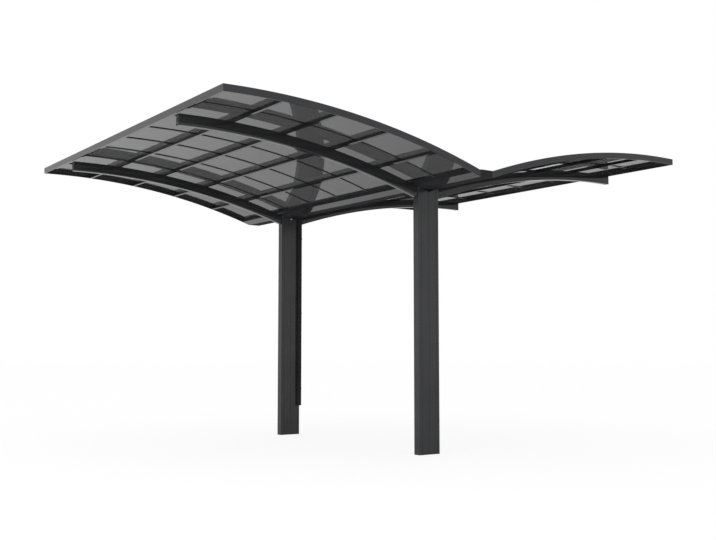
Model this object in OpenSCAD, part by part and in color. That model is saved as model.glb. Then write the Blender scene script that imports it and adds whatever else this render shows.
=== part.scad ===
// Double-wing cantilever carport: two posts in a row, four curved beams,
// two arched glazed wings that fall to a gutter between them.
// Millimetres. X across the wings, Y along the gutter, Z up.
// The origin is the middle of the front post's foot.

/* [Posts] */
// Distance between the two post centres
post_pitch = 3010; // [2000:10:4200]
// Width of a post across the carport
post_w = 290; // [200:5:400]
// Depth of a post along the gutter
post_d = 96; // [80:2:160]
// Radius on the post's upright edges
post_edge_r = 5; // [1:1:20]
// Width of the grooves in the broad post faces
post_groove_w = 6; // [3:1:12]
// Depth of the grooves in a post face
post_groove_d = 2; // [1:0.5:4]
// Distance of the outer grooves from the post's edges
post_groove_inset = 40; // [20:5:60]

/* [Roof outline] */
// Half of the carport's overall width
wing_reach = 3090; // [2400:10:3600]
// Roof length beyond each post centre
roof_overhang = 1020; // [500:10:1500]
// Height of the roof's crest above the foot
crest_z = 3505; // [2800:5:4200]
// Distance of the crest from the middle plane
crest_x = 2860; // [2200:10:3400]
// Radius of the roof's arch
roof_r = 8600; // [7000:100:14000]
// Angle of each flat along the arch, in degrees
arch_step = 0.5; // [0.25:0.25:1]

/* [Roof frame] */
// Width of the eave frame, seen from below
eave_w = 100; // [60:5:140]
// Width of the valley frame, seen from below
valley_w = 108; // [60:2:140]
// Width of a gable trim along the roof
trim_w = 50; // [30:2:80]
// Thickness of the outer web of the eave frames and gable trims
edge_web = 10; // [4:1:20]
// Number of purlins in each wing
purlin_count = 4; // [2:1:6]
// Width of a purlin
purlin_w = 30; // [24:2:90]
// How far the row of purlins lies towards the valley
purlin_offset = 20; // [0:5:60]
// Depth of a purlin
purlin_h = 36; // [24:2:44]

/* [Glazing] */
// Number of sheets along one wing
sheet_count = 8; // [4:1:12]
// Thickness of a sheet
sheet_t = 4; // [3:0.5:8]
// Distance of a sheet's top below the roof's outline
sheet_drop = 22; // [16:1:26]
// Width of a glazing bar between two sheets
bar_w = 22; // [16:1:40]
// Height of a glazing bar between the sheets and the purlins
bar_h = 8; // [4:1:20]
// Thickness of the cover strip over a glazing bar
glazing_cap_t = 4; // [2:1:8]
// Expansion gap between two sheets on a bar
sheet_gap = 8; // [4:1:12]
// How far a sheet's edge reaches into the groove of a frame or trim
sheet_bite = 12; // [6:1:16]
// Free play around a sheet in its groove
sheet_play = 0.25; // [0.1:0.05:0.5]

/* [Beams] */
// Width of a cantilever beam
beam_w = 66; // [50:2:76]
// Depth of a cantilever beam
beam_h = 112; // [80:2:140]
// Distance of a beam's end from the eave
beam_setback = 35; // [20:5:200]
// Thickness of the cap on a beam's end
beam_cap_t = 4; // [2:1:8]
// Thickness of the shoe between a beam and its post
shoe_t = 12; // [8:1:20]

/* [Rainwater] */
// Width of the gutter, outside
gutter_w = 164; // [140:4:240]
// Height of the gutter's underside above the valley frames' lower edges
gutter_lift = 1; // [1:1:15]
// Height of the gutter's sides
gutter_h = 70; // [50:2:80]
// Thickness of the gutter's sheet
gutter_t = 3; // [2:0.5:5]
// Thickness of the gutter's end caps
gutter_cap_t = 5; // [3:1:10]
// How far an end cap stands above the gutter
gutter_cap_rise = 8; // [0:1:20]
// Width of the downpipe
pipe_w = 60; // [40:2:90]
// Depth of the downpipe
pipe_d = 32; // [24:2:60]
// Wall of the downpipe
pipe_t = 2.5; // [1.5:0.5:4]
// How far the downpipe stands out past the post's edge
pipe_outset = 10; // [0:1:20]
// Height of the downpipe's open lower end
pipe_end_z = 390; // [100:10:800]

/* [Hidden] */
ARM_PARTS = ["shoe", "beam", "beam_cap"];
WING_PARTS = [
  "eave_frame", "valley_frame", "front_trim", "rear_trim",
  "glazing_bars", "glazing_caps", "sheets"
];
RAIN_PARTS = ["gutter", "gutter_front_cap", "gutter_rear_cap", "downpipe"];

$fn = 96;
ANTHRACITE = "#3c3d3f";
DARK_ALUMINIUM = "#242627";
SMOKED_SHEET = "#76787a";

// The wing runs in X from its valley side to its eave, and in Y between the gables
wing_in = gutter_w / 2;
roof_front = -roof_overhang;
roof_rear = post_pitch + roof_overhang;
frame_front = roof_front + trim_w;
frame_rear = roof_rear - trim_w;
web_front = roof_front + edge_web;
web_rear = roof_rear - edge_web;
arch_z = crest_z - roof_r;
purlin_drop = sheet_drop + sheet_t + bar_h;
frame_h = purlin_drop + purlin_h;
glass_in = wing_in + valley_w;
glass_out = wing_reach - eave_w;
purlin_pitch = (wing_reach - wing_in) / (purlin_count + 1);
sheet_pitch = (roof_rear - roof_front) / sheet_count;
beam_in = post_w / 2 + shoe_t;
beam_out = wing_reach - beam_setback - beam_cap_t;
gutter_z = arch_line(wing_in, glass_in, frame_h)[0][1] + gutter_lift;

// Draws its children at a front or rear post
module at_post(rear) {
  translate([0, rear ? post_pitch : 0, 0]) children();
}

// Turns a right-hand piece into a left-hand one
module hand(left) {
  mirror([left ? 1 : 0, 0, 0]) children();
}

// Extrudes an outline of the X-Z plane from y0 to y1
module along_y(y0, y1) {
  translate([0, y1, 0]) rotate([90, 0, 0]) linear_extrude(height = y1 - y0) children();
}

// Angle of a point at x on a circle about the arch's centre, from the vertical
function lean_at(x, r) = asin((x - crest_x) / r);

// Points from x0 to x1 on the arch, lowered by a distance square to the roof
function arch_line(x0, x1, drop) =
  let (
    r = roof_r - drop,
    a0 = lean_at(x0, r),
    a1 = lean_at(x1, r),
    first = floor(a0 / arch_step) + 1,
    last = ceil(a1 / arch_step) - 1
  )
  [
    for (a = concat([a0], [for (k = [first:1:last]) k * arch_step], [a1]))
      [crest_x + r * sin(a), arch_z + r * cos(a)]
  ];

function reversed(points) = [for (i = [len(points) - 1:-1:0]) points[i]];

// The strip of the right wing between two depths below the outline, from x0 to x1
module arch_strip(x0, x1, top_drop, bottom_drop) {
  polygon(concat(arch_line(x0, x1, top_drop), reversed(arch_line(x0, x1, bottom_drop))));
}

// A post: its top is cut to the V under the two wings
module post() {
  right_top = arch_line(0, post_w / 2, frame_h);
  left_top = [for (i = [len(right_top) - 1:-1:1]) [-right_top[i][0], right_top[i][1]]];
  intersection() {
    linear_extrude(height = crest_z) post_section();
    along_y(-post_d, post_d)
      polygon(concat(left_top, right_top, [[post_w / 2, 0], [-post_w / 2, 0]]));
  }
}

// The post's section: rounded edges and three fine grooves on each broad face
module post_section() {
  half_w = post_w / 2;
  half_d = post_d / 2;
  groove_x = half_w - post_groove_inset;
  difference() {
    union() {
      square([post_w - 2 * post_edge_r, post_d], center = true);
      square([post_w, post_d - 2 * post_edge_r], center = true);
      for (x = [-1, 1], y = [-1, 1])
        translate([x * (half_w - post_edge_r), y * (half_d - post_edge_r)])
          circle(r = post_edge_r);
    }
    for (x = [-groove_x, 0, groove_x], y = [-1, 1])
      translate([x, y * half_d])
        square([post_groove_w, 2 * post_groove_d], center = true);
  }
}

// A curved box beam under the roof, from its shoe to its end cap
module beam() {
  along_y(-beam_w / 2, beam_w / 2)
    arch_strip(beam_in, beam_out, frame_h, frame_h + beam_h);
}

// The plate that closes a beam's outer end
module beam_cap() {
  along_y(-beam_w / 2, beam_w / 2)
    arch_strip(beam_out, beam_out + beam_cap_t, frame_h, frame_h + beam_h);
}

// The plate that joins a beam to the side of its post
module beam_shoe() {
  along_y(-beam_w / 2, beam_w / 2)
    arch_strip(post_w / 2, beam_in, frame_h, frame_h + beam_h);
}

// A straight box bar under the glazing bars, square to the roof at its own place
module purlin(number) {
  x = wing_reach - purlin_offset - number * purlin_pitch;
  lean = asin((x - crest_x) / roof_r);
  along_y(web_front, web_rear)
    translate([crest_x, arch_z]) rotate(-lean)
      translate([-purlin_w / 2, roof_r - frame_h]) square([purlin_w, purlin_h]);
}

// The space that the sheets' edges fill inside the frame, with their play
module sheet_groove() {
  along_y(frame_front - sheet_bite - sheet_play, frame_rear + sheet_bite + sheet_play)
    arch_strip(glass_in - sheet_bite - sheet_play, glass_out + sheet_bite + sheet_play,
               sheet_drop - sheet_play, sheet_drop + sheet_t + sheet_play);
}

// The bar along the outer edge: a head that holds the sheets, and a thin outer web
module eave_frame() {
  difference() {
    union() {
      along_y(frame_front, frame_rear) arch_strip(glass_out, wing_reach, 0, purlin_drop);
      along_y(frame_front, frame_rear)
        arch_strip(wing_reach - edge_web, wing_reach, sheet_drop, frame_h);
      along_y(web_front, web_rear)
        arch_strip(wing_reach - edge_web, wing_reach, purlin_drop, frame_h);
    }
    sheet_groove();
  }
}

// The bar beside the gutter, which rests on the beams
module valley_frame() {
  difference() {
    union() {
      along_y(frame_front, frame_rear) arch_strip(wing_in, glass_in, 0, frame_h);
      along_y(web_front, web_rear) arch_strip(wing_in, glass_in, purlin_drop, frame_h);
    }
    sheet_groove();
  }
}

// The curved bar that closes a wing at its front or rear edge, with a head and an outer web
module gable_trim(rear) {
  head_y = rear ? frame_rear : roof_front;
  web_y = rear ? web_rear : roof_front;
  difference() {
    union() {
      along_y(head_y, head_y + trim_w) arch_strip(wing_in, wing_reach, 0, purlin_drop);
      along_y(web_y, web_y + edge_web) arch_strip(wing_in, wing_reach, sheet_drop, frame_h);
    }
    sheet_groove();
  }
}

// A curved strip over every joint between two sheets, between two depths
module joint_strips(top_drop, bottom_drop) {
  for (i = [1:sheet_count - 1]) {
    y = roof_front + i * sheet_pitch;
    along_y(y - bar_w / 2, y + bar_w / 2)
      arch_strip(glass_in, glass_out, top_drop, bottom_drop);
  }
}

// The bars that rest on the purlins and carry the sheets' edges
module glazing_bars() {
  joint_strips(sheet_drop + sheet_t, purlin_drop);
}

// The cover strips that hold the sheets down on the bars
module glazing_caps() {
  joint_strips(sheet_drop - glazing_cap_t, sheet_drop);
}

// The curved sheets, from eave to valley, with a gap over each bar
module sheets() {
  for (i = [0:sheet_count - 1]) {
    first_y = i == 0 ? frame_front - sheet_bite : roof_front + i * sheet_pitch + sheet_gap / 2;
    last_y = i == sheet_count - 1
      ? frame_rear + sheet_bite
      : roof_front + (i + 1) * sheet_pitch - sheet_gap / 2;
    along_y(first_y, last_y)
      arch_strip(glass_in - sheet_bite, glass_out + sheet_bite, sheet_drop, sheet_drop + sheet_t);
  }
}

// The open channel between the wings
module gutter() {
  color(DARK_ALUMINIUM)
    along_y(roof_front + gutter_cap_t, roof_rear - gutter_cap_t)
      difference() {
        translate([-gutter_w / 2, gutter_z]) square([gutter_w, gutter_h]);
        translate([-gutter_w / 2 + gutter_t, gutter_z + gutter_t])
          square([gutter_w - 2 * gutter_t, gutter_h]);
      }
}

module gutter_cap(rear) {
  y0 = rear ? roof_rear - gutter_cap_t : roof_front;
  color(ANTHRACITE)
    translate([-gutter_w / 2, y0, gutter_z])
      cube([gutter_w, gutter_cap_t, gutter_h + gutter_cap_rise]);
}

// The rectangular pipe on the rear post's front face, up to the valley frame
module downpipe() {
  x1 = post_w / 2 + pipe_outset;
  x0 = x1 - pipe_w;
  y1 = post_pitch - post_d / 2;
  y0 = y1 - pipe_d;
  color(DARK_ALUMINIUM)
    difference() {
      along_y(y0, y1)
        polygon(concat(arch_line(x0, x1, frame_h), [[x1, pipe_end_z], [x0, pipe_end_z]]));
      translate([x0 + pipe_t, y0 + pipe_t, 0])
        cube([pipe_w - 2 * pipe_t, pipe_d - 2 * pipe_t, crest_z]);
    }
}

color(ANTHRACITE) at_post(false) post();  // front_post
color(ANTHRACITE) at_post(true) post();  // rear_post

// Beams, shoes and caps: one of each for every side of each post
for (rear = [false, true], left = [false, true]) {
  place = str(rear ? "rear_" : "front_", left ? "left_" : "right_");
  color(ANTHRACITE) at_post(rear) hand(left) beam_shoe();
  color(DARK_ALUMINIUM) at_post(rear) hand(left) beam();
  color(ANTHRACITE) at_post(rear) hand(left) beam_cap();
}

// The pieces of each wing
for (left = [false, true]) {
  side = left ? "left_" : "right_";
  for (number = [1:purlin_count])
    color(DARK_ALUMINIUM) hand(left) purlin(number);
  color(ANTHRACITE) hand(left) eave_frame();
  color(ANTHRACITE) hand(left) valley_frame();
  color(ANTHRACITE) hand(left) gable_trim(false);
  color(ANTHRACITE) hand(left) gable_trim(true);
  color(DARK_ALUMINIUM) hand(left) glazing_bars();
  color(DARK_ALUMINIUM) hand(left) glazing_caps();
  color(SMOKED_SHEET) hand(left) sheets();
}

gutter();
gutter_cap(false);  // gutter_front_cap
gutter_cap(true);  // gutter_rear_cap
downpipe();
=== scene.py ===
"""The looks of a double-wing carport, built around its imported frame. Metres, Z up."""

import math

import bmesh
import bpy
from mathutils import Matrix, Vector

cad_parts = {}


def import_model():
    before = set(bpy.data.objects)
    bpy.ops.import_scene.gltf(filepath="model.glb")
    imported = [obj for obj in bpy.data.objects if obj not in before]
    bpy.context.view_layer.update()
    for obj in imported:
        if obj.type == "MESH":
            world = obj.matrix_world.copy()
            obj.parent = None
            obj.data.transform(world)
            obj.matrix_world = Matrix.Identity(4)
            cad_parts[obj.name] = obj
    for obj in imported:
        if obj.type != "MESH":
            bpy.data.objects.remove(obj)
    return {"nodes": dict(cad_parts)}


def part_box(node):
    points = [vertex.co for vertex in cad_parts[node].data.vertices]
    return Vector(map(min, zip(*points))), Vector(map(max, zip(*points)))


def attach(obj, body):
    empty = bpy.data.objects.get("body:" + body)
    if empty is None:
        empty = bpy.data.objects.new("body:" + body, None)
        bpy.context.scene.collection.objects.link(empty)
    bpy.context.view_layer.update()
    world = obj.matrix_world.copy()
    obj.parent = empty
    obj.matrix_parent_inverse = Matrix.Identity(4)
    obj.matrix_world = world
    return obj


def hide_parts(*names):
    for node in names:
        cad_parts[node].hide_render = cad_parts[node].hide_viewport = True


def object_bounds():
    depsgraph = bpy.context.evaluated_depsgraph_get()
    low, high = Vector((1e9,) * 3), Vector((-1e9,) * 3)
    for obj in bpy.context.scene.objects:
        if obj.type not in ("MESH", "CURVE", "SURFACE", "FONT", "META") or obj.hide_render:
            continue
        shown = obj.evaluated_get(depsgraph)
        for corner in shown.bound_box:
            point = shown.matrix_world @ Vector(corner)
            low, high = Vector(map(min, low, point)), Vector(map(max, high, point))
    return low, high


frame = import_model()
cad_low, cad_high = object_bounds()

# ---------------------------------------------------------------- sizes
# The wings' arch, as in the CAD. Its centre lies below the crest of each wing, a drop is a
# depth below the roof's outline, and stations are the steps of a sweep along the arch.
ROOF_R = 8.600
CREST_X = 2.860
CENTRE_Z = cad_high[2] - ROOF_R
FRAME_H = 0.070
PURLIN_DROP = 0.034
EDGE_WEB = 0.010
SHEET_DROP = 0.022
SHEET_T = 0.004
CAP_DROP = 0.018
BEAM_H = 0.112
BAR_W = 0.022
SHEET_GAP = 0.008
SHEET_BITE = 0.012
SHEET_PLAY = 0.00025
SHEET_COUNT = 8
PURLIN_COUNT = 4
PURLIN_W = 0.030
PURLIN_OFFSET = 0.020
SHEET_STATIONS = 120
BAR_STATIONS = 90
STRIP_STATIONS = 60
PLATE_EDGE = 0.0006
SIDES = {"left": -1, "right": 1}
ROWS = ("front", "rear")

ROOF_FRONT, ROOF_REAR = cad_low[1], cad_high[1]
REACH = cad_high[0]
WING_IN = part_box("gutter")[1].x
GLASS_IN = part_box("right_valley_frame")[1].x
GLASS_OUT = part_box("right_eave_frame")[0].x
BAY_FRONT, BAY_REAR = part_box("right_front_trim")[1].y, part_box("right_rear_trim")[0].y
SHEET_PITCH = (ROOF_REAR - ROOF_FRONT) / SHEET_COUNT


# ---------------------------------------------------------------- materials
def new_material(name):
    """A material with a Principled shader, and what its nodes need."""
    mat = bpy.data.materials.new(name)
    mat.use_nodes = True
    tree = mat.node_tree
    shader = tree.nodes["Principled BSDF"]
    coords = tree.nodes.new("ShaderNodeTexCoord")
    return mat, tree, shader, coords


def noise(tree, coords, scale, detail=3.0, stretch=None):
    """Noise on the object's own coordinates, scale per metre, stretched along an axis if asked."""
    source = coords.outputs["Object"]
    if stretch:
        mapping = tree.nodes.new("ShaderNodeMapping")
        mapping.inputs["Scale"].default_value = stretch
        tree.links.new(source, mapping.inputs["Vector"])
        source = mapping.outputs["Vector"]
    node = tree.nodes.new("ShaderNodeTexNoise")
    node.inputs["Scale"].default_value = scale
    node.inputs["Detail"].default_value = detail
    tree.links.new(source, node.inputs["Vector"])
    return node.outputs["Fac"]


def ramp(tree, fac, low, high, start=0.35, end=0.65):
    """A colour that runs from low to high as fac goes from start to end."""
    node = tree.nodes.new("ShaderNodeValToRGB")
    node.color_ramp.elements[0].position = start
    node.color_ramp.elements[0].color = (*low, 1)
    node.color_ramp.elements[1].position = end
    node.color_ramp.elements[1].color = (*high, 1)
    tree.links.new(fac, node.inputs["Fac"])
    return node.outputs["Color"]


def spread(tree, fac, low, high):
    """A value that runs from low to high as fac goes from 0.3 to 0.7."""
    node = tree.nodes.new("ShaderNodeMapRange")
    node.inputs["From Min"].default_value = 0.3
    node.inputs["From Max"].default_value = 0.7
    node.inputs["To Min"].default_value = low
    node.inputs["To Max"].default_value = high
    tree.links.new(fac, node.inputs["Value"])
    return node.outputs["Result"]


def bump(tree, shader, heights):
    """Chains bumps, each (height, strength, distance in metres), into the shader's normal."""
    before = None
    for height, strength, distance in heights:
        node = tree.nodes.new("ShaderNodeBump")
        node.inputs["Strength"].default_value = strength
        node.inputs["Distance"].default_value = distance
        tree.links.new(height, node.inputs["Height"])
        if before:
            tree.links.new(before, node.inputs["Normal"])
        before = node.outputs["Normal"]
    tree.links.new(before, shader.inputs["Normal"])


def mixed(tree, a, b, fac):
    """Blends two colours by a factor."""
    node = tree.nodes.new("ShaderNodeMix")
    node.data_type = "RGBA"
    tree.links.new(fac, node.inputs[0])
    tree.links.new(a, node.inputs[6])
    tree.links.new(b, node.inputs[7])
    return node.outputs[2]


def powder_coat(name, dark, light, rough=(0.13, 0.20), gloss=0.32, grain=0.05):
    """Powder coat: faint cloudy tone, fine orange peel, and streaks where rain ran down."""
    dusting = 1.16
    mat, tree, shader, coords = new_material(name)
    clouds = noise(tree, coords, 2.3, 4)
    streaks = noise(tree, coords, 9.0, 5, stretch=(6, 6, 0.35))
    tone = ramp(tree, clouds, dark, light)
    dusty = ramp(tree, clouds, [c * dusting for c in dark], [c * dusting for c in light])
    colour = mixed(tree, tone, dusty, spread(tree, streaks, 0, 1))
    tree.links.new(colour, shader.inputs["Base Color"])
    peel = noise(tree, coords, 420, 2)
    tree.links.new(spread(tree, streaks, *rough), shader.inputs["Roughness"])
    shader.inputs["Specular IOR Level"].default_value = gloss
    bump(tree, shader, [(peel, grain, 0.0004)])
    return mat


def smoked_sheet():
    """A glossy smoked sheet: clear gloss, a slow waviness, and a little dust in patches."""
    mat, tree, shader, coords = new_material("smoked_sheet")
    dust = noise(tree, coords, 3.1, 6)
    colour = ramp(tree, dust, (0.020, 0.0205, 0.021), (0.026, 0.0265, 0.027))
    tree.links.new(colour, shader.inputs["Base Color"])
    tree.links.new(spread(tree, dust, 0.025, 0.05), shader.inputs["Roughness"])
    shader.inputs["Specular IOR Level"].default_value = 0.35
    shader.inputs["Alpha"].default_value = 0.78
    wave = noise(tree, coords, 1.1, 1)
    bump(tree, shader, [(wave, 0.05, 0.002)])
    return mat


def rubber():
    mat, tree, shader, coords = new_material("sealing_rubber")
    grain = noise(tree, coords, 300, 3)
    tree.links.new(ramp(tree, grain, (0.008, 0.008, 0.008), (0.016, 0.016, 0.016)),
                   shader.inputs["Base Color"])
    tree.links.new(spread(tree, grain, 0.6, 0.8), shader.inputs["Roughness"])
    bump(tree, shader, [(grain, 0.2, 0.0003)])
    return mat


def stainless():
    mat, tree, shader, coords = new_material("stainless_steel")
    grain = noise(tree, coords, 700, 3)
    tree.links.new(ramp(tree, grain, (0.42, 0.42, 0.41), (0.56, 0.56, 0.55)),
                   shader.inputs["Base Color"])
    shader.inputs["Metallic"].default_value = 1.0
    tree.links.new(spread(tree, grain, 0.28, 0.42), shader.inputs["Roughness"])
    bump(tree, shader, [(grain, 0.1, 0.0002)])
    return mat


GUTTER = powder_coat("gutter_coat", (0.021, 0.021, 0.022), (0.026, 0.026, 0.027),
                     rough=(0.7, 0.85), gloss=0.03, grain=0.12)
POST = powder_coat("post_coat", (0.030, 0.0305, 0.033), (0.036, 0.0365, 0.039))
BEAM = powder_coat("beam_coat", (0.021, 0.0215, 0.023), (0.026, 0.0265, 0.028), rough=(0.05, 0.09))
# Painted shade: the purlins take a darker copy of the anthracite coat, standing in for the shade
# that falls on their sides under the roof.
PURLIN_PAINTED_SHADE = powder_coat("purlin_coat_painted_shade", (0.013, 0.0135, 0.0145), (0.017, 0.0175, 0.0185),
                     rough=(0.05, 0.09), gloss=0.24)
JOINT = powder_coat("joint_coat", (0.046, 0.0465, 0.048), (0.054, 0.0545, 0.056), rough=(0.1, 0.18))
TRIM = powder_coat("frame_coat", (0.026, 0.0265, 0.029), (0.031, 0.0315, 0.034),
                   rough=(0.05, 0.09), gloss=0.28)
BLACK = powder_coat("matt_black_coat", (0.012, 0.012, 0.0125), (0.016, 0.016, 0.0165),
                    rough=(0.5, 0.65), gloss=0.15, grain=0.12)
SHEET = smoked_sheet()
RUBBER = rubber()
STEEL = stainless()


# ---------------------------------------------------------------- mesh helpers
def finish_mesh(name, bm, material):
    """Turns a bmesh into a smooth-shaded piece that rides on the part."""
    bmesh.ops.recalc_face_normals(bm, faces=bm.faces)
    mesh = bpy.data.meshes.new(name)
    bm.to_mesh(mesh)
    bm.free()
    mesh.shade_smooth()
    mesh.set_sharp_from_angle(angle=math.radians(38))
    mesh.materials.append(material)
    piece = bpy.data.objects.new(name, mesh)
    bpy.context.scene.collection.objects.link(piece)
    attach(piece, "root")
    return piece


def rounded_rect(y0, y1, d0, d1, edge):
    """Corners of a rectangle in Y and depth, each rounded off with four points."""
    steps = 3
    points = []
    for cy, cd, start in ((y1 - edge, d1 - edge, 0), (y0 + edge, d1 - edge, 90),
                          (y0 + edge, d0 + edge, 180), (y1 - edge, d0 + edge, 270)):
        for k in range(steps + 1):
            a = math.radians(start + 90 * k / steps)
            points.append((cy + edge * math.cos(a), cd + edge * math.sin(a)))
    return points


def arch_point(side, x, drop):
    """A point of the arch at x from the middle plane, lowered square to the roof."""
    r = ROOF_R - drop
    return side * x, CENTRE_Z + math.sqrt(r * r - (x - CREST_X) ** 2)


def sweep_arch(bm, side, x0, x1, section, stations):
    """Sweeps a closed section of (y, drop) points along the arch from x0 to x1."""
    rings = []
    for i in range(stations + 1):
        ring = []
        for y, drop in section:
            r = ROOF_R - drop
            a0, a1 = math.asin((x0 - CREST_X) / r), math.asin((x1 - CREST_X) / r)
            a = a0 + (a1 - a0) * i / stations
            ring.append(bm.verts.new((side * (CREST_X + r * math.sin(a)), y,
                                      CENTRE_Z + r * math.cos(a))))
        rings.append(ring)
    count = len(section)
    for near, far in zip(rings, rings[1:]):
        for k in range(count):
            n = (k + 1) % count
            bm.faces.new((near[k], near[n], far[n], far[k]))
    bm.faces.new(rings[0])
    bm.faces.new(rings[-1])


def box_bar(bm, low, high, edge, place=Vector((0, 0, 0)), axes=None):
    """A straight bar between two corners, its edges rounded off, in the axes given at a place."""
    axes = axes or (Vector((1, 0, 0)), Vector((0, 1, 0)), Vector((0, 0, 1)))
    made = bmesh.ops.create_cube(bm, size=1)["verts"]
    for v in made:
        share = [(low[k] + high[k]) / 2 + v.co[k] * (high[k] - low[k]) for k in range(3)]
        v.co = place + sum((axis * s for axis, s in zip(axes, share)), Vector((0, 0, 0)))
    edges = list({e for v in made for e in v.link_edges})
    bmesh.ops.bevel(bm, geom=edges, offset=edge, segments=2, affect="EDGES", profile=0.5)


def screw(bm, place, direction, radius=0.005, height=0.0025):
    """A domed screw head with a round recess, standing on a face."""
    axis = Vector(direction).normalized()
    turn = axis.to_track_quat("Z", "Y").to_matrix()
    profile = [(0.0, 0.45), (0.38, 0.45), (0.42, 0.98), (0.62, 0.9), (0.86, 0.6), (1.0, 0.0)]
    count = 12
    rings = []
    for share, level in profile:
        ring = []
        for k in range(count):
            a = 2 * math.pi * k / count
            local = Vector((share * radius * math.cos(a), share * radius * math.sin(a),
                            level * height))
            ring.append(bm.verts.new(Vector(place) + turn @ local))
            if share == 0:
                break
        rings.append(ring)
    for k in range(count):
        bm.faces.new((rings[0][0], rings[1][k], rings[1][(k + 1) % count]))
    for near, far in zip(rings[1:], rings[2:]):
        for k in range(count):
            n = (k + 1) % count
            bm.faces.new((near[k], near[n], far[n], far[k]))
    bm.faces.new(rings[-1])


def up_at(side, x, drop):
    """The direction square to the roof at x."""
    a = math.asin((x - CREST_X) / (ROOF_R - drop))
    return Vector((side * math.sin(a), 0, math.cos(a)))


# ---------------------------------------------------------------- the glazing
def joint_places():
    return [ROOF_FRONT + i * SHEET_PITCH for i in range(1, SHEET_COUNT)]


def sheet_edges(i):
    """Front and rear edge of a sheet, as in the CAD node."""
    low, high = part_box("right_sheets")
    first = low.y if i == 0 else ROOF_FRONT + i * SHEET_PITCH + SHEET_GAP / 2
    last = high.y if i == SHEET_COUNT - 1 else ROOF_FRONT + (i + 1) * SHEET_PITCH - SHEET_GAP / 2
    return first, last


def sheets(wing):
    bm = bmesh.new()
    low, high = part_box("right_sheets")
    for i in range(SHEET_COUNT):
        y0, y1 = sheet_edges(i)
        section = [(y1, SHEET_DROP + SHEET_T), (y0, SHEET_DROP + SHEET_T), (y0, SHEET_DROP),
                   (y1, SHEET_DROP)]
        sweep_arch(bm, SIDES[wing], low.x, high.x, section, SHEET_STATIONS)
    piece = finish_mesh(wing + "_smoked_sheets", bm, SHEET)
    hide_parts(wing + "_sheets")


def glazing_bars(wing):
    """The bars under the joints between sheets, with rounded edges."""
    edge = 0.0015
    bm = bmesh.new()
    for y in joint_places():
        section = rounded_rect(y - BAR_W / 2, y + BAR_W / 2, SHEET_DROP + SHEET_T, PURLIN_DROP, edge)
        sweep_arch(bm, SIDES[wing], GLASS_IN, GLASS_OUT, section, STRIP_STATIONS)
    piece = finish_mesh(wing + "_joint_bars", bm, JOINT)
    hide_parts(wing + "_glazing_bars")


def glazing_caps(wing):
    """The cover strips over the joints, and the screws and rubber lips that hold the sheets."""
    side = SIDES[wing]
    screws_per_strip = 7
    margin = 0.06
    lip = 0.003
    lip_step = 0.001
    cover, heads, lips = bmesh.new(), bmesh.new(), bmesh.new()
    for y in joint_places():
        low, high = y - BAR_W / 2, y + BAR_W / 2
        section = rounded_rect(low + lip, high - lip, CAP_DROP, SHEET_DROP, 0.0015)
        sweep_arch(cover, side, GLASS_IN, GLASS_OUT, section, STRIP_STATIONS)
        for y0, y1 in ((low, low + lip), (high - lip, high)):
            section = rounded_rect(y0, y1, CAP_DROP + lip_step, SHEET_DROP, 0.0012)
            sweep_arch(lips, side, GLASS_IN, GLASS_OUT, section, STRIP_STATIONS)
        for k in range(screws_per_strip):
            x = GLASS_IN + margin + (GLASS_OUT - GLASS_IN - 2 * margin) * k / (screws_per_strip - 1)
            px, pz = arch_point(side, x, CAP_DROP)
            screw(heads, (px, y, pz), up_at(side, x, CAP_DROP))
    piece = finish_mesh(wing + "_cover_strips", cover, TRIM)
    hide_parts(wing + "_glazing_caps")
    finish_mesh(wing + "_cover_screws", heads, STEEL)
    finish_mesh(wing + "_cover_lips", lips, RUBBER)


def edge_seals(wing):
    """Rubber seals above and below the sheets' edges, where they enter the frames and trims."""
    side = SIDES[wing]
    seal = 0.003
    edge = 0.001
    underside = SHEET_DROP + SHEET_T
    bm = bmesh.new()
    for d0, d1 in ((SHEET_DROP - seal, SHEET_DROP), (underside, underside + seal)):
        for y0, y1 in ((BAY_FRONT, BAY_FRONT + seal), (BAY_REAR - seal, BAY_REAR)):
            section = rounded_rect(y0, y1, d0, d1, edge)
            sweep_arch(bm, side, GLASS_IN, GLASS_OUT, section, STRIP_STATIONS)
        for x0, x1 in ((GLASS_IN, GLASS_IN + seal), (GLASS_OUT - seal, GLASS_OUT)):
            section = [(BAY_REAR, d1), (BAY_FRONT, d1), (BAY_FRONT, d0), (BAY_REAR, d0)]
            sweep_arch(bm, side, x0, x1, section, 1)
    finish_mesh(wing + "_edge_seals", bm, RUBBER)


# ---------------------------------------------------------------- the arched bars
def beam(row, wing):
    """A curved box beam with rounded edges."""
    edge = 0.003
    node = row + "_" + wing + "_beam"
    low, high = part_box(node)
    inner, outer = sorted((abs(low.x), abs(high.x)))
    bm = bmesh.new()
    section = rounded_rect(low.y, high.y, FRAME_H, FRAME_H + BEAM_H, edge)
    sweep_arch(bm, SIDES[wing], inner, outer, section, BAR_STATIONS)
    piece = finish_mesh(node + "_bar", bm, BEAM)
    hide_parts(node)


def gable_trim(row, wing):
    """The curved bar at one end of a wing: a head that holds the sheets, and an outer web."""
    node = wing + "_" + row + "_trim"
    low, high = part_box(node)
    groove = SHEET_BITE + SHEET_PLAY
    d0, d1 = SHEET_DROP - SHEET_PLAY, SHEET_DROP + SHEET_T + SHEET_PLAY
    front = row == "front"
    outer, inner = (low.y, high.y) if front else (high.y, low.y)
    into = -1 if front else 1
    edge = 0.002
    web = outer - into * EDGE_WEB
    section = [(outer, FRAME_H - edge), (outer - into * edge, FRAME_H), (web, FRAME_H),
               (web, PURLIN_DROP), (inner + into * edge, PURLIN_DROP),
               (inner, PURLIN_DROP - edge), (inner, d1), (inner + into * groove, d1),
               (inner + into * groove, d0), (inner, d0), (inner, edge), (inner + into * edge, 0),
               (outer - into * edge, 0), (outer, edge)]
    bm = bmesh.new()
    sweep_arch(bm, SIDES[wing], WING_IN, REACH, section, BAR_STATIONS)
    piece = finish_mesh(node + "_bar", bm, TRIM)
    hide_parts(node)


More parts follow.
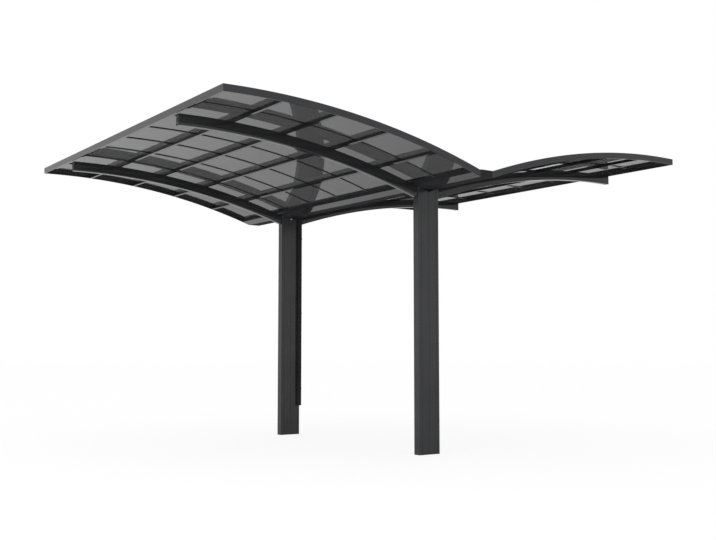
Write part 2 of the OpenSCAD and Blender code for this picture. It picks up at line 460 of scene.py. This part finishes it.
# ---------------------------------------------------------------- fixings
def beam_end_screws(row, wing):
    """Two screws that hold the cap on a beam's end."""
    side = SIDES[wing]
    low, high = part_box(row + "_" + wing + "_beam_cap")
    face = max(abs(low.x), abs(high.x))
    bm = bmesh.new()
    for share in (0.2, 0.8):
        drop = FRAME_H + BEAM_H * share
        x, z = arch_point(side, face, drop)
        screw(bm, (x, (low.y + high.y) / 2, z), (side, 0, 0), radius=0.004, height=0.002)
    finish_mesh(row + "_" + wing + "_cap_screws", bm, STEEL)


def beam_foot_bolts(row, wing):
    """Four coated button-head bolts on each side of a beam, next to its shoe."""
    side = SIDES[wing]
    low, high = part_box(row + "_" + wing + "_beam")
    inner = min(abs(low.x), abs(high.x))
    bm = bmesh.new()
    for y, facing in ((low.y, -1), (high.y, 1)):
        for dx in (0.035, 0.095):
            for share in (0.25, 0.75):
                x, z = arch_point(side, inner + dx, FRAME_H + BEAM_H * share)
                screw(bm, (x, y, z), (0, facing, 0), radius=0.008, height=0.005)
    finish_mesh(row + "_" + wing + "_foot_bolts", bm, BEAM)


def purlin_cleats(wing):
    """Small angles that hold each purlin down on the beams, on the purlin's valley side."""
    side = SIDES[wing]
    pitch = (REACH - WING_IN) / (PURLIN_COUNT + 1)
    plate, reach, half, step = 0.003, 0.030, 0.022, 0.006
    foot_screw, side_screw = 0.018, 0.016
    bevel = 0.0008
    edge = -PURLIN_W / 2
    angles, heads = bmesh.new(), bmesh.new()
    for number in range(1, PURLIN_COUNT + 1):
        x = REACH - PURLIN_OFFSET - number * pitch
        up = up_at(side, x, 0)
        along = Vector((side * up.z, 0, -side * up.x))
        foot_x, foot_z = arch_point(side, x, 0)
        for row in ROWS:
            low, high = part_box(row + "_" + wing + "_beam")
            place = Vector((foot_x, (low.y + high.y) / 2, foot_z))
            axes = (along, Vector((0, 1, 0)), -up)
            box_bar(angles, (edge - plate, -half, PURLIN_DROP + step), (edge, half, FRAME_H),
                    bevel, place, axes)
            box_bar(angles, (edge - reach, -half, FRAME_H - plate), (edge - plate, half, FRAME_H),
                    bevel, place, axes)
            on_foot = place + along * (edge - foot_screw) - up * (FRAME_H - plate)
            on_side = place + along * (edge - plate) - up * (PURLIN_DROP + side_screw)
            screw(heads, on_foot, up, radius=0.005)
            screw(heads, on_side, -along, radius=0.004)
    finish_mesh(wing + "_purlin_cleats", angles, BLACK)
    finish_mesh(wing + "_cleat_screws", heads, STEEL)


def corner_screws(wing):
    """Coated screw heads where the gable trims meet the eave and the valley frames."""
    side = SIDES[wing]
    bm = bmesh.new()
    for y, facing in ((ROOF_FRONT, -1), (ROOF_REAR, 1)):
        for x0, step in ((REACH, -1), (WING_IN, 1)):
            for inset in (0.022, 0.074):
                x, z = arch_point(side, x0 + step * inset, FRAME_H / 3)
                screw(bm, (x, y, z), (0, facing, 0), radius=0.0035, height=0.0016)
    finish_mesh(wing + "_corner_screws", bm, TRIM)


def pipe_clips():
    """Three straps that hold the downpipe to the post, each with one ear and a screw."""
    low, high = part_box("downpipe")
    strap, half, ear = 0.002, 0.012, 0.022
    straps, heads = bmesh.new(), bmesh.new()
    for z in (0.62, 1.65, 2.68):
        z0, z1 = z - half, z + half
        box_bar(straps, (low.x - strap, low.y - strap, z0), (high.x + strap, low.y, z1), PLATE_EDGE)
        for x0, x1 in ((low.x - strap, low.x), (high.x, high.x + strap)):
            box_bar(straps, (x0, low.y, z0), (x1, high.y, z1), PLATE_EDGE)
        box_bar(straps, (low.x - ear, high.y - strap, z0), (low.x - strap, high.y, z1), PLATE_EDGE)
        screw(heads, (low.x - ear * 0.6, high.y - strap, z), (0, -1, 0), radius=0.004)
    finish_mesh("downpipe_straps", straps, BLACK)
    finish_mesh("downpipe_strap_screws", heads, STEEL)


def leaf_guard():
    """A small grate on the gutter's floor, in front of the rear post."""
    gutter_t = 0.003
    half, bar, pitch, bars_each_side = 0.032, 0.004, 0.009, 3
    bar_h, rail_h, bevel = 0.006, 0.007, 0.0008
    floor_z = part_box("gutter")[0].z + gutter_t
    pipe_low, pipe_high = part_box("downpipe")
    middle = (pipe_low.y + pipe_high.y) / 2
    bm = bmesh.new()
    for k in range(-bars_each_side, bars_each_side + 1):
        x = k * pitch
        box_bar(bm, (x - bar / 2, middle - half, floor_z),
                (x + bar / 2, middle + half, floor_z + bar_h), bevel)
    for y in (middle - half, middle + half):
        box_bar(bm, (-half, y - bar / 2, floor_z), (half, y + bar / 2, floor_z + rail_h), bevel)
    finish_mesh("gutter_leaf_guard", bm, BLACK)


def gutter_end_seals():
    """Black seals around each end cap of the gutter: beside the trims and along its top."""
    strip, proud, bevel = 0.003, 0.0012, 0.0004
    bm = bmesh.new()
    for row in ROWS:
        low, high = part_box("gutter_" + row + "_cap")
        y0, y1 = (low.y - proud, low.y) if row == "front" else (high.y, high.y + proud)
        for x in (low.x, high.x):
            box_bar(bm, (x - strip, y0, low.z), (x + strip, y1, high.z), bevel)
        box_bar(bm, (low.x, y0, high.z - strip), (high.x, y1, high.z), bevel)
    finish_mesh("gutter_end_seals", bm, RUBBER)


pipe_clips()
leaf_guard()
gutter_end_seals()
for wing in SIDES:
    purlin_cleats(wing)
    corner_screws(wing)
    sheets(wing)
    glazing_bars(wing)
    glazing_caps(wing)
    edge_seals(wing)
    for row in ROWS:
        beam(row, wing)
        gable_trim(row, wing)
        beam_end_screws(row, wing)
        beam_foot_bolts(row, wing)


# ---------------------------------------------------------------- the CAD nodes' finishes
for name, node in frame["nodes"].items():
    if "post" in name:
        finish = POST
    elif name == "gutter":
        finish = GUTTER
    elif "gutter" in name or "pipe" in name or "beam_cap" in name:
        finish = BLACK
    elif "purlin" in name:
        finish = PURLIN_PAINTED_SHADE
    elif "beam" in name or "shoe" in name:
        finish = BEAM
    elif "sheets" in name:
        finish = SHEET
    else:
        finish = TRIM
    for index in range(len(node.material_slots)):
        node.material_slots[index].material = finish


# ---------------------------------------------------------------- floor, light and camera
def background_rays(tree, gloss=1.0):
    """1 for camera and transmission rays, gloss for glossy ones, and 0 for other rays."""
    path = tree.nodes.new("ShaderNodeLightPath")
    weak = tree.nodes.new("ShaderNodeMath")
    weak.operation = "MULTIPLY"
    weak.inputs[1].default_value = gloss
    tree.links.new(path.outputs["Is Glossy Ray"], weak.inputs[0])
    total = weak.outputs[0]
    for name in ("Is Camera Ray", "Is Transmission Ray"):
        node = tree.nodes.new("ShaderNodeMath")
        node.operation = "MAXIMUM"
        tree.links.new(total, node.inputs[0])
        tree.links.new(path.outputs[name], node.inputs[1])
        total = node.outputs[0]
    return total


def floor():
    """A pale floor, shown nearly white, that keeps the carport's shadow."""
    size = 60
    white_share = 0.8
    glow_strength = 1.08
    gloss_share = 0.4
    bm = bmesh.new()
    bmesh.ops.create_circle(bm, cap_ends=True, segments=96, radius=size)
    mesh = bpy.data.meshes.new("floor")
    bm.to_mesh(mesh)
    bm.free()
    piece = bpy.data.objects.new("floor", mesh)
    bpy.context.scene.collection.objects.link(piece)
    mat = bpy.data.materials.new("pale_floor")
    mat.use_nodes = True
    tree = mat.node_tree
    tree.nodes.remove(tree.nodes["Principled BSDF"])
    diffuse = tree.nodes.new("ShaderNodeBsdfDiffuse")
    diffuse.inputs["Color"].default_value = (0.86, 0.86, 0.86, 1)
    glow = tree.nodes.new("ShaderNodeEmission")
    glow.inputs["Strength"].default_value = glow_strength
    share = tree.nodes.new("ShaderNodeMath")
    share.operation = "MULTIPLY"
    share.inputs[1].default_value = white_share
    tree.links.new(background_rays(tree, gloss=gloss_share), share.inputs[0])
    mix = tree.nodes.new("ShaderNodeMixShader")
    tree.links.new(share.outputs[0], mix.inputs["Fac"])
    tree.links.new(diffuse.outputs["BSDF"], mix.inputs[1])
    tree.links.new(glow.outputs["Emission"], mix.inputs[2])
    tree.links.new(mix.outputs["Shader"], tree.nodes["Material Output"].inputs["Surface"])
    mesh.materials.append(mat)


def world():
    """White behind the carport; a plainer level lights it."""
    light_level = 0.75
    scene_world = bpy.data.worlds.new("studio")
    bpy.context.scene.world = scene_world
    scene_world.use_nodes = True
    tree = scene_world.node_tree
    back = tree.nodes["Background"]
    back.inputs["Color"].default_value = (1, 1, 1, 1)
    strength = tree.nodes.new("ShaderNodeMapRange")
    strength.inputs["To Min"].default_value = light_level
    strength.inputs["To Max"].default_value = 1
    tree.links.new(background_rays(tree), strength.inputs["Value"])
    tree.links.new(strength.outputs["Result"], back.inputs["Strength"])


def area_light(name, place, target, size, power):
    """A soft light that shows in no reflection."""
    light = bpy.data.lights.new(name, "AREA")
    light.shape = "RECTANGLE"
    light.size, light.size_y = size
    light.energy = power
    lamp = bpy.data.objects.new(name, light)
    lamp.location = place
    lamp.rotation_euler = (Vector(target) - Vector(place)).to_track_quat("-Z", "Y").to_euler()
    bpy.context.scene.collection.objects.link(lamp)
    lamp.visible_glossy = False


def camera():
    """Stands where the photograph was taken from, at the same focal length."""
    data = bpy.data.cameras.new("camera")
    data.sensor_width = 36
    data.lens = 49.33
    piece = bpy.data.objects.new("camera", data)
    piece.location = (-6.953, -8.628, 1.208)
    piece.rotation_euler = (math.radians(94.398), 0, math.radians(-34.881))
    bpy.context.scene.collection.objects.link(piece)
    bpy.context.scene.camera = piece


floor()
world()
area_light("left_soft_light", (-11, -4, 4.5), (0, 1.5, 1.5), (7, 5), 420)
camera()
bpy.context.scene.view_settings.view_transform = "Standard"
